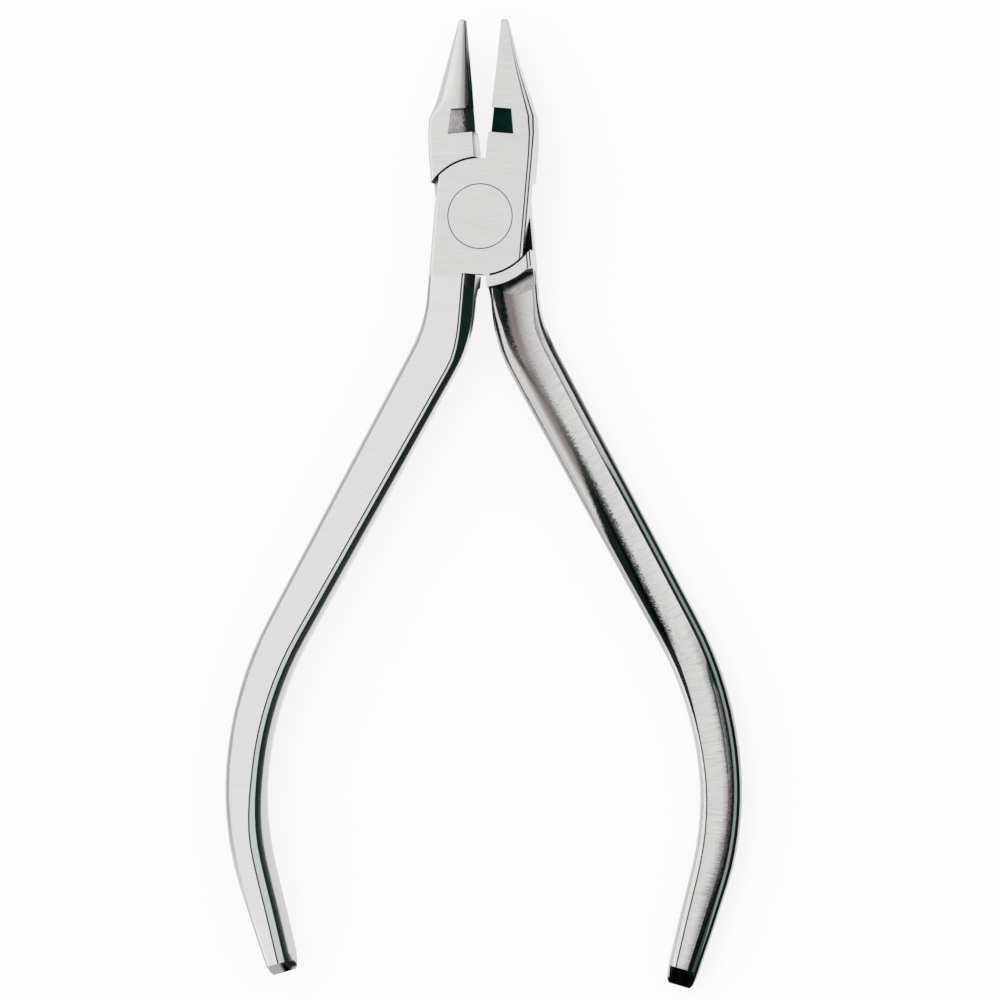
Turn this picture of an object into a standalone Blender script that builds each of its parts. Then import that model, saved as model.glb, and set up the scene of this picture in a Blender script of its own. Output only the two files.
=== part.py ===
"""Orthodontic pliers: two lap-jointed steel halves on a flush-ground pivot rivet.

The pliers lie flat on their back face. The pivot axis is the world Z axis, the
beaks point to +Y, the photographed front face looks up (+Z) and z = 0 is the
back face. Each half is shaped closed, with its flat side up, its beak on the
+X side and its handle on the -X side, and is then swung open on its own empty.
"""
import math

import bmesh
import bpy
from mathutils import Matrix

MM = 0.001

# Joint
THICKNESS = 7.6 * MM
LAP_CLEARANCE = 0.2 * MM
SEAM_RADIUS = 7.93 * MM
SEAM_CLEARANCE = 0.25 * MM
JOINT_HALF_WIDTH = 6.25 * MM
JOINT_BEVEL = 0.52 * MM
BEVEL_LINE_SHARE = 0.24
BEVEL_LINE_SLOPE = math.tan(math.radians(47.0))
BEVEL_STRIP_SLOPE = math.tan(math.radians(12.0))
EDGE_STEPS = 6
BLOCK_REACH = 7.8 * MM
ROOT_INSET = 0.004 * MM
ROUND_STEPS = 96
HALF_OPENING = math.radians(5.0)

# Pivot rivet
RIVET_HEAD_RADIUS = 4.3 * MM
RIVET_SHANK_RADIUS = 2.5 * MM
RIVET_HEAD_DEPTH = 0.9 * MM
RIVET_CONE_DEPTH = 1.5 * MM
RIVET_CLEARANCE = 0.09 * MM
RIVET_STEPS = 64

# Jaws and beaks
JAW_CLEARANCE = 0.1 * MM
ROOT_START = 5.0 * MM
TAPER_START = 8.9 * MM
SHOULDER_HEIGHT = 14.0 * MM
BEAK_LENGTH = 26.75 * MM
BEAK_TIP_WIDTH = 0.94 * MM
BEAK_TIP_THICKNESS = 0.95 * MM
BEAK_INNER_EDGE = 0.08 * MM
BEAK_STEPS = 10
TIP_EDGE = 0.25 * MM
ROUND_TIP_GAP = 0.02 * MM
ROUND_START = 13.6 * MM
ROUND_END = 17.4 * MM
ROUND_STATIONS = 8
ROUND_LEAN = 0.09
ROUND_SHOULDER_LEAN = 0.41

# Wire cutter
CUTTER_BOTTOM = 11.4 * MM
CUTTER_TOP = 14.75 * MM
CUTTER_SLOPE = 0.93
CUTTER_LAND = 0.4 * MM

# Neck
NECK_CLEARANCE = 0.12 * MM
BOSS_RADIUS = 9.5 * MM
COVE_LIP_WIDTH = 0.3 * MM
COVE_LIP_DEPTH = 1.9 * MM
COVE_RUN = 1.05 * MM
COVE_SLOPE = math.tan(math.radians(47.0))
COVE_FOOT_WIDTH = 1.0 * MM
COVE_FOOT_DEPTH = 1.0 * MM
COVE_FOOT_STEPS = ((0.7, 0.75), (0.3, 0.25))
NECK_LENGTH = 12.0 * MM
NECK_ARC_RADIUS = 20.0 * MM

# Handles; each width stands with its distance below the pivot
HANDLE_SLOPE = math.radians(23.6)
BOW_END_SLOPE = math.radians(21.0)
STRAIGHT_LENGTH = 41.0 * MM
STRAIGHT_STEPS = 8
UPPER_BOW_RADIUS = 47.5 * MM
LOWER_BOW_RADIUS = 41.0 * MM
FRONT_HANDLE_TAIL = 10.8 * MM
BACK_HANDLE_TAIL = 12.5 * MM
HANDLE_EDGE = 0.6 * MM
HANDLE_WIDTHS = ((18.0 * MM, 6.6 * MM), (42.0 * MM, 6.2 * MM), (60.0 * MM, 5.85 * MM),
                 (78.0 * MM, 5.4 * MM), (90.0 * MM, 5.2 * MM), (98.0 * MM, 4.6 * MM),
                 (106.0 * MM, 3.7 * MM))
FACE_FALL = 0.004
NECK_THICKNESS = 6.1 * MM
END_THICKNESS = 4.4 * MM
THINNING_LENGTH = 92.0 * MM
END_CHAMFER = 2.4 * MM
END_STATIONS = (0.45, 0.8, 1.0)
END_WIDTHS = (0.97, 0.92, 0.78)
FLAT_END = (1.0, 0.5, 0.21)
HOLLOW_END = (0.58, 0.25, 0.06)
CORE_SHARE = 0.42

# Rolled inner edge of the handle's flat side
ROLL_WIDTHS = ((14.0 * MM, 1.65 * MM), (19.0 * MM, 1.15 * MM), (42.0 * MM, 1.5 * MM),
               (78.0 * MM, 1.9 * MM), (86.0 * MM, 2.5 * MM))
ROLL_LINE = 0.14 * MM
ROLL_STRIP_AT_NECK = 0.16 * MM
ROLL_STRIP_SHARE = 0.42
ROLL_BANDS = ((14.0 * MM, 1.25 * MM), (19.0 * MM, 0.62 * MM))
ROLL_SLOPE = math.tan(math.radians(47.0))
FLAT_STRIP_SLOPE = math.tan(math.radians(12.0))
FLANK_ROUNDING = ((0.6, 1.4), (0.3, 2.3), (0.1, 5.5))

# Hollow side: its rim, its inner wall with the wall's slope, and the lip along the outer edge
RIM_WIDTHS = ((10.0 * MM, 0.35 * MM), (15.2 * MM, 1.4 * MM), (25.0 * MM, 1.35 * MM),
              (41.0 * MM, 0.85 * MM), (50.0 * MM, 0.75 * MM), (66.0 * MM, 0.75 * MM),
              (92.0 * MM, 1.1 * MM))
WALL_WIDTHS = ((13.0 * MM, 1.3 * MM), (17.0 * MM, 1.0 * MM), (32.0 * MM, 1.2 * MM),
               (39.0 * MM, 1.5 * MM), (49.0 * MM, 1.25 * MM), (57.0 * MM, 0.9 * MM),
               (64.0 * MM, 0.5 * MM), (71.0 * MM, 0.14 * MM))
WALL_SLOPES = ((13.0 * MM, 1.11), (17.5 * MM, 0.91), (29.0 * MM, 0.91), (37.0 * MM, 1.11))
WALL_STEEP_SHARE = 0.8
WALL_FOOT_SLOPE = 0.6
RIM_ROUNDING = ((0.0, 0.66), (0.06, 0.78), (0.3, 0.91), (0.62, 0.975), (1.0, 1.0))
FLOOR_SHARES = (0.14, 0.36, 0.62, 0.86, 1.0)
FLOOR_DISH = (0.056, 0.104, 0.122, 0.11, 0.093)
NECK_DISH = (0.105, 0.225, 0.31, 0.355, 0.37)
NECK_DISH_SHARES = ((15.0 * MM, 1.0), (27.0 * MM, 0.0))
FLOOR_ROUNDING = (0.0, 0.0, 0.01 * MM, 0.1 * MM, 0.46 * MM)
FLOOR_FULL_WALL = 0.9 * MM
LIP_LINE = 0.3 * MM
LIP_STRIP = 0.42 * MM
LIP_EDGE = 0.35 * MM
LIP_STRIP_SLOPE = 0.25
LIP_SHARES = ((11.0 * MM, 0.4), (16.0 * MM, 1.0))
LIP_LINE_SLOPES = ((14.0 * MM, 0.84), (32.0 * MM, 0.9), (42.0 * MM, 1.07))

MID = THICKNESS / 2
PIECES = "orthodontic_pliers"
CUTTERS = "cutters"


# Scene and collections
def clear_scene():
    for obj in list(bpy.data.objects):
        bpy.data.objects.remove(obj, do_unlink=True)
    for name in (PIECES, CUTTERS):
        group = bpy.data.collections.new(name)
        bpy.context.scene.collection.children.link(group)


def add_object(name, mesh, group=CUTTERS):
    obj = bpy.data.objects.new(name, mesh)
    bpy.data.collections[group].objects.link(obj)
    if group == CUTTERS:
        obj.hide_render = True
        obj.display_type = "WIRE"
    return obj


def steel(name, colour, roughness):
    material = bpy.data.materials.new(name)
    material.use_nodes = True
    shader = material.node_tree.nodes["Principled BSDF"]
    shader.inputs["Base Color"].default_value = (*colour, 1.0)
    shader.inputs["Metallic"].default_value = 1.0
    shader.inputs["Roughness"].default_value = roughness
    material.diffuse_color = (*colour, 1.0)
    return material


# Solids
def bar(name, outline, length, matrix):
    """A flat closed outline, filled and extruded both ways by half the length."""
    curve = bpy.data.curves.new(name, "CURVE")
    curve.dimensions = "2D"
    curve.fill_mode = "BOTH"
    curve.extrude = length / 2
    spline = curve.splines.new("POLY")
    spline.points.add(len(outline) - 1)
    for point, (x, y) in zip(spline.points, outline):
        point.co = (x, y, 0.0, 1.0)
    spline.use_cyclic_u = True
    source = add_object(name + "_outline", curve)
    source.matrix_world = matrix
    bpy.context.view_layer.update()
    graph = bpy.context.evaluated_depsgraph_get()
    mesh = bpy.data.meshes.new_from_object(source.evaluated_get(graph))
    mesh.transform(source.matrix_world)
    bpy.data.objects.remove(source, do_unlink=True)
    bpy.data.curves.remove(curve)
    tidy_mesh(mesh)
    return add_object(name, mesh)


def long_bar(name, outline, near, far):
    """An outline in X and Z, extruded along Y."""
    turn = Matrix.Rotation(math.radians(90.0), 4, "X")
    matrix = Matrix.Translation((0.0, (near + far) / 2, 0.0)) @ turn
    return bar(name, outline, far - near, matrix)


def turned(name, profile, steps):
    """A profile in radius and height, screwed once round the pivot axis."""
    mesh = bpy.data.meshes.new(name)
    points = [(radius, 0.0, height) for radius, height in profile]
    mesh.from_pydata(points, [(i, i + 1) for i in range(len(points) - 1)], [])
    obj = add_object(name, mesh)
    screw = obj.modifiers.new("turn", "SCREW")
    screw.axis = "Z"
    screw.steps = steps
    screw.render_steps = steps
    screw.use_merge_vertices = True
    screw.merge_threshold = 1e-6
    apply_modifiers(obj)
    return obj


def loft(name, rings):
    """Closed rings of the same count, skinned in order and capped at both ends."""
    mesh = bpy.data.meshes.new(name)
    shape = bmesh.new()
    rows = [[shape.verts.new(point) for point in ring] for ring in rings]
    count = len(rows[0])
    for low, high in zip(rows, rows[1:]):
        for i in range(count):
            j = (i + 1) % count
            shape.faces.new((low[i], low[j], high[j], high[i]))
    shape.faces.new(rows[0])
    shape.faces.new(list(reversed(rows[-1])))
    shape.to_mesh(mesh)
    shape.free()
    tidy_mesh(mesh)
    return add_object(name, mesh)


def tidy_mesh(mesh):
    shape = bmesh.new()
    shape.from_mesh(mesh)
    bmesh.ops.remove_doubles(shape, verts=shape.verts, dist=1e-7)
    bmesh.ops.recalc_face_normals(shape, faces=shape.faces)
    shape.to_mesh(mesh)
    shape.free()


def apply_modifiers(obj):
    bpy.context.view_layer.update()
    graph = bpy.context.evaluated_depsgraph_get()
    mesh = bpy.data.meshes.new_from_object(obj.evaluated_get(graph))
    obj.modifiers.clear()
    obj.data = mesh
    tidy_mesh(mesh)


def combine(target, tool, operation):
    modifier = target.modifiers.new(operation.lower(), "BOOLEAN")
    modifier.operation = operation
    modifier.solver = "EXACT"
    modifier.object = tool
    apply_modifiers(target)
    bpy.data.objects.remove(tool, do_unlink=True)


def along(marks, place):
    """The value at a place between marks, each a place with its value."""
    if place <= marks[0][0]:
        return marks[0][1]
    for (start, low), (end, high) in zip(marks, marks[1:]):
        if place <= end:
            return low + (high - low) * (place - start) / (end - start)
    return marks[-1][1]


def edge_profile(size, roundness, steps):
    """Steps from a flat to the side it meets, as distances in from the side and down.

    A roundness of 0 gives the ground bevel, a slim strip between two narrow facets,
    and 1 gives a quarter circle.
    """
    line = BEVEL_LINE_SHARE * size
    strip = size - 2 * line
    points = []
    for i in range(steps + 1):
        angle = math.pi / 2 * i / steps
        share = min(1.0, max(0.0, (i - 1) / (steps - 2)))
        inward = 0.0 if i == steps else size if i == 0 else size - line - strip * share
        facets = 0 if i == 0 else 2 if i == steps else 1
        down = facets * line * BEVEL_LINE_SLOPE + strip * share * BEVEL_STRIP_SLOPE
        points.append((inward + (size * (1 - math.sin(angle)) - inward) * roundness,
                       down + (size * (1 - math.cos(angle)) - down) * roundness))
    return points


# Jaws
def jaw_half_thickness(height):
    """Half thickness of a jaw: full up to the taper, then thinning evenly to the tip."""
    root = MID - ROOT_INSET
    share = max(0.0, (height - TAPER_START) / (BEAK_LENGTH - TAPER_START))
    return root + (BEAK_TIP_THICKNESS / 2 - root) * share


def jaw_ring(height, inner, outer, outer_edge, inner_edge=BEAK_INNER_EDGE, roundness=0.0):
    """A section across a jaw: a rectangle with its own edges on the outer and inner side."""
    half = jaw_half_thickness(height)
    outside = edge_profile(outer_edge, roundness, BEAK_STEPS)
    inside = edge_profile(inner_edge, 1.0, BEAK_STEPS)
    corners = [(outer - inward, MID - half + down) for inward, down in outside]
    corners += [(outer - inward, MID + half - down) for inward, down in reversed(outside)]
    corners += [(inner + inward, MID + half - down) for inward, down in inside]
    corners += [(inner + inward, MID - half + down) for inward, down in reversed(inside)]
    return [(x, height, z) for x, z in corners]


def square_beak():
    """The flat-sided beak with its jaw root; its outer edges are bevelled."""
    tip_inner = JAW_CLEARANCE + 0.04 * MM
    tip_outer = tip_inner + BEAK_TIP_WIDTH
    side = JOINT_HALF_WIDTH - ROOT_INSET
    stations = (
        (ROOT_START, JAW_CLEARANCE, side, JOINT_BEVEL),
        (TAPER_START, JAW_CLEARANCE, side, JOINT_BEVEL),
        (11.6 * MM, JAW_CLEARANCE, side - 0.06 * MM, JOINT_BEVEL * 1.25),
        (SHOULDER_HEIGHT, 0.16 * MM, side - 0.36 * MM, JOINT_BEVEL * 1.5),
        (17.5 * MM, 0.18 * MM, 4.39 * MM, JOINT_BEVEL * 1.1),
        (20.5 * MM, 0.2 * MM, 3.1 * MM, JOINT_BEVEL * 0.65),
        (BEAK_LENGTH - TIP_EDGE, tip_inner, tip_outer, 0.16 * MM),
        (BEAK_LENGTH, tip_inner + 0.12 * MM, tip_outer - 0.2 * MM, 0.12 * MM),
    )
    return loft("square_beak", [jaw_ring(*station) for station in stations])


def round_beak():
    """The conical beak; its jaw root is a rounded rectangle that changes to a circle."""
    side = JOINT_HALF_WIDTH - ROOT_INSET
    shoulder = side - 0.1 * MM
    edge = JOINT_BEVEL
    rings = []
    for v, outer in ((ROOT_START, side), (TAPER_START, side), (CUTTER_BOTTOM, shoulder)):
        rings.append(jaw_ring(v, JAW_CLEARANCE, outer, edge, BEAK_INNER_EDGE, 1.0))
    tip_inner = ROUND_TIP_GAP
    inside_start = CUTTER_BOTTOM + 0.3 * MM
    inside_end = CUTTER_TOP - 0.3 * MM
    for i in range(1, ROUND_STATIONS + 1):
        v = CUTTER_BOTTOM + (ROUND_END - CUTTER_BOTTOM) * i / ROUND_STATIONS
        share = max(0.0, (v - ROUND_START) / (ROUND_END - ROUND_START))
        smooth = share * share * (3 - 2 * share)
        half = jaw_half_thickness(v)
        inner = JAW_CLEARANCE + (tip_inner - JAW_CLEARANCE) * share
        lean = ROUND_LEAN * (v - CUTTER_BOTTOM) + ROUND_SHOULDER_LEAN * max(0.0, v - ROUND_START)
        straight = shoulder - lean
        outer = straight + (inner + 2 * half - straight) * smooth
        limit = min(half, (outer - inner) / 2)
        inside = min(1.0, max(0.0, (v - inside_start) / (inside_end - inside_start)))
        rings.append(jaw_ring(v, inner, outer, edge + (limit - edge) * smooth,
                              BEAK_INNER_EDGE + (limit - BEAK_INNER_EDGE) * inside, 1.0))
    for v in (22.0 * MM, BEAK_LENGTH - TIP_EDGE):
        half = jaw_half_thickness(v)
        rings.append(jaw_ring(v, tip_inner, tip_inner + 2 * half, half, half, 1.0))
    tip = jaw_half_thickness(BEAK_LENGTH)
    axis = tip_inner + tip
    end = jaw_ring(BEAK_LENGTH, tip_inner, tip_inner + 2 * tip, tip, tip, 1.0)
    rings.append([(axis + (x - axis) * 0.65, y, MID + (z - MID) * 0.65) for x, y, z in end])
    return loft("round_beak", rings)


def cut_cutter(half):
    """The two slanting reliefs that leave the cutting edge at mid thickness."""
    reach = MID + 0.5 * MM
    edge = JAW_CLEARANCE
    run = (reach - CUTTER_LAND / 2) / CUTTER_SLOPE
    for side in (1, -1):
        outline = [
            (-0.6 * MM, MID + side * CUTTER_LAND / 2),
            (edge, MID + side * CUTTER_LAND / 2),
            (edge + run, MID + side * reach),
            (-0.6 * MM, MID + side * reach),
        ]
        combine(half, long_bar("relief", outline, CUTTER_BOTTOM, CUTTER_TOP), "DIFFERENCE")


# Handles
def handle_path(tail):
    """Points down the middle of the handle, each with its angle off the long axis."""
    x = -(NECK_CLEARANCE + JOINT_HALF_WIDTH) / 2
    path = [(x, -ROOT_START, 0.0), (x, -NECK_LENGTH, 0.0)]

    def straight(length, shares):
        x, y, angle = path[-1]
        for share in shares:
            run = length * share
            path.append((x - run * math.sin(angle), y - run * math.cos(angle), angle))

    def bend(radius, change, steps):
        """Turn by the change of angle on an arc whose centre lies square to the path."""
        x, y, start = path[-1]
        side = math.copysign(radius, change)
        for i in range(1, steps + 1):
            angle = start + change * i / steps
            path.append((x + side * (math.cos(angle) - math.cos(start)),
                         y - side * (math.sin(angle) - math.sin(start)), angle))

    bend(NECK_ARC_RADIUS, HANDLE_SLOPE, 6)
    straight(STRAIGHT_LENGTH, [i / STRAIGHT_STEPS for i in range(1, STRAIGHT_STEPS + 1)])
    bend(UPPER_BOW_RADIUS, -HANDLE_SLOPE, 8)
    bend(LOWER_BOW_RADIUS, -BOW_END_SLOPE, 7)
    straight(tail, (0.5, 1.0))
    straight(END_CHAMFER, END_STATIONS)
    return path


def handle_width(depth):
    """Width across the handle, read along the pliers from the pivot downwards."""
    neck = JOINT_HALF_WIDTH - NECK_CLEARANCE - 4 * ROOT_INSET
    return along(((NECK_LENGTH, neck),) + HANDLE_WIDTHS, depth)


def handle_thickness(depth):
    """Thickness of the handle: less than the joint, thinning evenly to the end."""
    return along(((NECK_LENGTH, NECK_THICKNESS), (NECK_LENGTH + THINNING_LENGTH, END_THICKNESS)),
                 depth)


def flat_side(depth, side):
    """The flat side from its outer edge to the rolled inner edge, which ends at the side."""
    points = [(inward - side, down)
              for inward, down in reversed(edge_profile(HANDLE_EDGE, 1.0, EDGE_STEPS))]
    roll = along(ROLL_WIDTHS, depth)
    band = along(ROLL_BANDS, depth)
    spare = roll - ROLL_LINE - ROLL_STRIP_AT_NECK - band
    strip = ROLL_STRIP_AT_NECK + ROLL_STRIP_SHARE * spare
    flank = roll - ROLL_LINE - strip - band
    s = side - roll
    d = 0.0
    points.append((s, d))
    facets = [(ROLL_LINE, ROLL_SLOPE), (strip, FLAT_STRIP_SLOPE), (band, ROLL_SLOPE)]
    facets += [(share * flank, slope) for share, slope in FLANK_ROUNDING]
    for run, slope in facets:
        s += run
        d += run * slope
        points.append((s, d))
    return points


def hollow_side(depth, side, thick):
    """The hollow side: rim, steep inner wall, dished floor and the lip of the outer edge."""
    rim = along(RIM_WIDTHS, depth)
    wall = along(WALL_WIDTHS, depth)
    points = [(side - inward * rim, down * thick) for inward, down in RIM_ROUNDING]
    steep = WALL_STEEP_SHARE * wall
    slope = along(WALL_SLOPES, depth)
    foot = side - rim - wall
    level = thick - steep * slope
    points.append((side - rim - steep, level))
    level -= (wall - steep) * slope * WALL_FOOT_SLOPE
    points.append((foot, level))
    lip = along(LIP_SHARES, depth)
    width = foot + side - lip * (LIP_LINE + LIP_STRIP + LIP_EDGE)
    dish = min(1.0, wall / FLOOR_FULL_WALL)
    near_neck = along(NECK_DISH_SHARES, depth)
    for share, down, neck_down, rounding in zip(FLOOR_SHARES, FLOOR_DISH, NECK_DISH,
                                                FLOOR_ROUNDING):
        dished = (down + (neck_down - down) * near_neck) * width
        points.append((foot - share * width, level - dish * dished - (1 - dish) * rounding))
    s, d = points[-1]
    for run, slope in ((LIP_LINE, along(LIP_LINE_SLOPES, depth)),
                       (LIP_STRIP, LIP_STRIP_SLOPE), (LIP_EDGE, ROLL_SLOPE)):
        s -= lip * run
        d -= lip * run * slope
        points.append((s, d))
    return points


def handle(tail):
    """The section carried down the handle's line, with a chamfered end."""
    path = handle_path(tail)
    sizes = [(1.0, 1.0, 1.0)] * (len(path) - len(END_STATIONS))
    sizes += list(zip(END_WIDTHS, FLAT_END, HOLLOW_END))
    rings = []
    for (x, y, angle), (across, flat, hollow) in zip(path, sizes):
        side = handle_width(-y) / 2
        thick = handle_thickness(-y)
        core = thick * CORE_SHARE
        section = [(s * across, core + (d - core) * (flat if d < core else hollow))
                   for s, d in flat_side(-y, side) + hollow_side(-y, side, thick)]
        top = THICKNESS - 2 * ROOT_INSET - FACE_FALL * max(0.0, -y - NECK_LENGTH)
        rings.append([(x + s * math.cos(angle), y - s * math.sin(angle), top - d)
                      for s, d in section])
    return loft("handle", rings)


def neck_bar():
    """The full-thickness neck that carries the handle away from the seam."""
    side = JOINT_HALF_WIDTH - ROOT_INSET
    outline = [(-NECK_CLEARANCE, ROOT_INSET), (-NECK_CLEARANCE, MID), (-side, MID)]
    outline += [(inward - side, ROOT_INSET + down)
                for inward, down in reversed(edge_profile(JOINT_BEVEL, 0.0, 3))]
    reach = BOSS_RADIUS + COVE_LIP_WIDTH + COVE_RUN + COVE_FOOT_WIDTH
    return long_bar("neck", outline, -reach, -ROOT_START)


def cove_ring():
    """The concave ring round the pivot that ends the neck's full thickness."""
    radius, depth = BOSS_RADIUS, 0.0
    profile = [(radius, -MM), (radius, depth)]
    steps = [(COVE_LIP_WIDTH, COVE_LIP_DEPTH), (COVE_RUN, COVE_RUN * COVE_SLOPE)]
    steps += [(out * COVE_FOOT_WIDTH, down * COVE_FOOT_DEPTH) for out, down in COVE_FOOT_STEPS]
    for run, fall in steps:
        radius += run
        depth += fall
        profile.append((radius, depth))
    outside = 2 * radius
    profile += [(radius, THICKNESS), (outside, THICKNESS), (outside, -MM), (BOSS_RADIUS, -MM)]
    return turned("cove_ring", profile, ROUND_STEPS)


# Joint
def joint_block(roundness):
    """The middle of a half: round where it meets the seam, square where jaw and handle leave."""
    side = JOINT_HALF_WIDTH
    under_jaw = edge_profile(JOINT_BEVEL, roundness, BEAK_STEPS)
    soft = edge_profile(JOINT_BEVEL, 1.0, BEAK_STEPS)
    neck = edge_profile(JOINT_BEVEL, 0.0, 3)
    outline = [(side - inward, down) for inward, down in under_jaw]
    outline += [(side - inward, THICKNESS - down) for inward, down in reversed(under_jaw)]
    outline += [(inward - side, THICKNESS - down) for inward, down in soft]
    outline += [(inward - side, down) for inward, down in reversed(neck)]
    block = long_bar("joint_block", outline, -BLOCK_REACH, BLOCK_REACH)
    radius = SEAM_RADIUS - SEAM_CLEARANCE / 2
    low = -2 * MM
    high = THICKNESS + 2 * MM
    profile = [(0.0, high + MM), (radius, high + MM), (radius, low - MM), (0.0, low - MM)]
    for sign in (1, -1):
        far = sign * 2 * side
        outline = [(0.0, low), (far, low), (far, high), (0.0, high)]
        near, distant = sorted((-sign * 2 * radius, -sign * MM))
        corner = long_bar("corner", outline, near, distant)
        combine(corner, turned("seam_disc", profile, ROUND_STEPS), "DIFFERENCE")
        combine(block, corner, "DIFFERENCE")
    return block


def rivet_profile(clearance, reach):
    """Radius and height down the rivet, from the front end to the back end."""
    head = RIVET_HEAD_RADIUS + clearance
    shank = RIVET_SHANK_RADIUS + clearance
    cone_end = RIVET_HEAD_DEPTH + RIVET_CONE_DEPTH
    return [
        (0.0, THICKNESS + reach), (head, THICKNESS + reach), (head, THICKNESS - RIVET_HEAD_DEPTH),
        (shank, THICKNESS - cone_end), (shank, cone_end), (head, RIVET_HEAD_DEPTH),
        (head, -reach), (0.0, -reach),
    ]


def pivot_rivet(material):
    rivet = turned("pivot_rivet", rivet_profile(0.0, 0.0), RIVET_STEPS)
    finish(rivet, material)
    return rivet


def half(name, beak, roundness, tail, material, turned_over):
    """One half; the roundness is that of the edge which the joint shares with the jaw."""
    body = joint_block(roundness)
    combine(body, neck_bar(), "UNION")
    combine(body, cove_ring(), "DIFFERENCE")
    combine(body, beak, "UNION")
    combine(body, handle(tail), "UNION")
    rebate_radius = SEAM_RADIUS + SEAM_CLEARANCE / 2
    ledge = MID + LAP_CLEARANCE / 2
    rebate = [(0.0, ledge), (rebate_radius, ledge), (rebate_radius, -MM), (0.0, -MM)]
    combine(body, turned("rebate", rebate, ROUND_STEPS), "DIFFERENCE")
    pivot_hole = turned("pivot_hole", rivet_profile(RIVET_CLEARANCE, MM), RIVET_STEPS)
    combine(body, pivot_hole, "DIFFERENCE")
    cut_cutter(body)
    body.name = name
    body.data.name = name
    if turned_over:
        middle = Matrix.Translation((0.0, 0.0, MID))
        body.data.transform(middle @ Matrix.Rotation(math.pi, 4, "Y") @ middle.inverted())
    finish(body, material)
    return body


def finish(obj, material):
    """Give the piece its steel and smooth shading, and list it with the pieces."""
    obj.data.materials.clear()
    obj.data.materials.append(material)
    bpy.data.collections[CUTTERS].objects.unlink(obj)
    bpy.data.collections[PIECES].objects.link(obj)
    obj.hide_render = False
    obj.display_type = "TEXTURED"
    obj.data.shade_smooth()
    obj.data.set_sharp_from_angle(angle=math.radians(28.0))


def swing(obj, name, angle):
    """Hang a half on an empty at the pivot and open it by its share of the angle."""
    axis = bpy.data.objects.new(name, None)
    bpy.data.collections[PIECES].objects.link(axis)
    axis.rotation_euler = (0.0, 0.0, angle)
    obj.parent = axis


def main():
    clear_scene()
    front = half("front_half", square_beak(), 0.0, FRONT_HANDLE_TAIL,
                 steel("brushed_steel_front", (0.62, 0.62, 0.61), 0.32), False)
    back = half("back_half", round_beak(), 1.0, BACK_HANDLE_TAIL,
                steel("brushed_steel_back", (0.58, 0.58, 0.58), 0.36), True)
    pivot_rivet(steel("ground_steel_pivot", (0.66, 0.66, 0.65), 0.28))
    swing(front, "front_axis", -HALF_OPENING)
    swing(back, "back_axis", HALF_OPENING)


main()
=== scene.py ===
"""Orthodontic pliers in satin stainless steel, lying open on a white studio floor."""
import math

import bpy
from mathutils import Matrix, Vector


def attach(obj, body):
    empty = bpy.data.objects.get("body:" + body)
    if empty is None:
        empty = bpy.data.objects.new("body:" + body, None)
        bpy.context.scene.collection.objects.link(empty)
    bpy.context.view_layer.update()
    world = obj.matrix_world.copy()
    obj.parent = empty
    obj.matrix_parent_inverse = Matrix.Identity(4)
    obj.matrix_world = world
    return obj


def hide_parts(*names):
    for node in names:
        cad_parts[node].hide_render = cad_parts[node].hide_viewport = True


bl_info = {
    "name": "Orthodontic pliers",
    "version": (1, 0, 0),
    "blender": (4, 5, 0),
    "location": "3D View > Sidebar > Pliers",
    "description": "Finishes the pliers' steel pieces and sets the studio round them",
    "category": "Object",
}

MM = 0.001

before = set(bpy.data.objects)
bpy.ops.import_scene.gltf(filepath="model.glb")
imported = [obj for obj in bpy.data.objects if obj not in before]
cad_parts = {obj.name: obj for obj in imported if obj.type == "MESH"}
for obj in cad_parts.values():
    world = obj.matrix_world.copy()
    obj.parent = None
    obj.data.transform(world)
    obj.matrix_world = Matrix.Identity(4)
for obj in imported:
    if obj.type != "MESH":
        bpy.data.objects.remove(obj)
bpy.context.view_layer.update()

# Opening of each half off the long axis, as the pliers lie in the picture
HALF_OPENING = math.radians(5.0)

# Where the finish changes, measured on a half that is closed, from the pivot
MID = 3.8 * MM
LAP_RADIUS = 8.2 * MM
LAP_REACH = 0.3 * MM
CUTTER_BOTTOM = 11.4 * MM
CUTTER_TOP = 14.75 * MM
CUTTER_REACH = 4.3 * MM
CONE_START = 15.2 * MM

# A slanting face of a cutter recess: the range of its normal's lean to the front or back, and
# its least lean sideways. A lap face's normal is nearly upright
RECESS_LEAN = (0.6, 0.85)
RECESS_SIDE_LEAN = 0.5
LAP_UPRIGHT = 0.9

# The handle's line: where it starts and its stretches, each a length and a turn in degrees
HANDLE_START = -3.19 * MM
HANDLE_STRETCHES = ((12.0 * MM, 0.0), (8.24 * MM, 23.6), (41.0 * MM, 0.0), (19.57 * MM, -23.6),
                    (15.03 * MM, -21.0), (16.0 * MM, 0.0))
HANDLE_STEP = 0.5 * MM
HANDLE_HALF_WIDTH = 3.1 * MM

# Merging the forged facets: points this near are one, facets this flat are one face, and an edge
# that turns more than the last angle stays sharp
MERGE_DISTANCE = 0.002 * MM
FLAT_ANGLE = math.radians(0.4)
SHARP_ANGLE = math.radians(28.0)

# Grain: how much coarser the second grain is, the range of both noises together, how upright a
# ground face's normal is, how much the streaks darken, lighten and roughen the steel, and how
# many times more it leans in the rough hollow
COARSE_GRAIN = 2.2
GRAIN_RANGE = (0.6, 1.4)
FLAT_FACING = (0.8, 0.97)
STREAK_DARK = 0.96
STREAK_LIGHT = 1.03
STREAK_ROUGHNESS = 0.03
HOLLOW_LEAN = 28.0

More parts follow.
